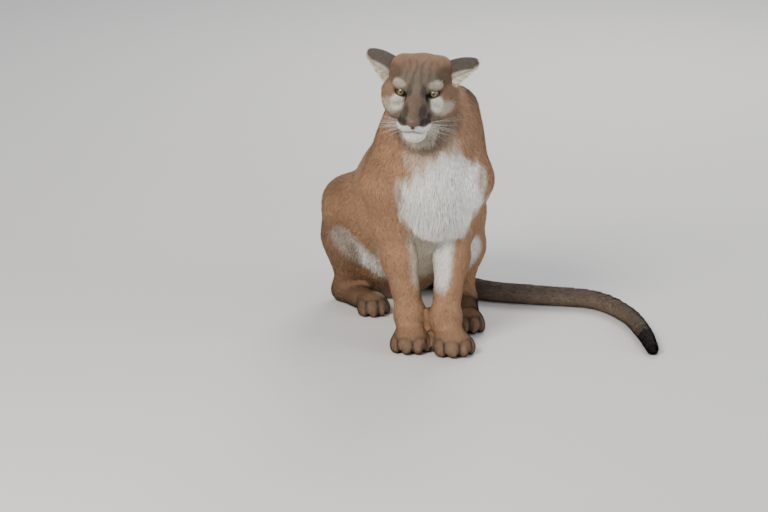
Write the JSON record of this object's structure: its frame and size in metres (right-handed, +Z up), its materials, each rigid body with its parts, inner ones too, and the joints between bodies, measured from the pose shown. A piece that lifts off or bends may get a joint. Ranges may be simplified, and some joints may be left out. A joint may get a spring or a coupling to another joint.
{
  "type": "cougar model",
  "caption": "Life-size still model of a cougar sitting upright, head turned slightly and tail laid along the floor.",
  "frame": {"origin": "on the floor under the middle of the box round the whole animal", "axes": "+Z up, the animal faces -Y, its own left side is +X"},
  "size_m": [0.7816, 0.7556, 0.7651],
  "materials": {
    "coat": "short dense fur, tawny with cream underside",
    "eye": "wet and glossy, amber iris",
    "nose_leather": "bare, finely pebbled and slightly damp"
  },
  "bodies": {
    "root": {"chest": "coat", "ear_left": "coat", "ear_right": "coat", "eye_left": "eye", "eye_right": "eye", "foreleg_left": "coat", "foreleg_right": "coat", "forepaw_left": "coat", "forepaw_right": "coat", "haunch": "coat", "head": "coat", "hindfoot_left": "coat", "hindfoot_right": "coat", "hindleg_left": "coat", "hindleg_right": "coat", "loin": "coat", "neck": "coat", "nose": "nose_leather", "shoulder_left": "coat", "shoulder_right": "coat", "tail_base": "coat", "tail_middle": "coat", "tail_tip": "coat"}
  },
  "joints": []
}
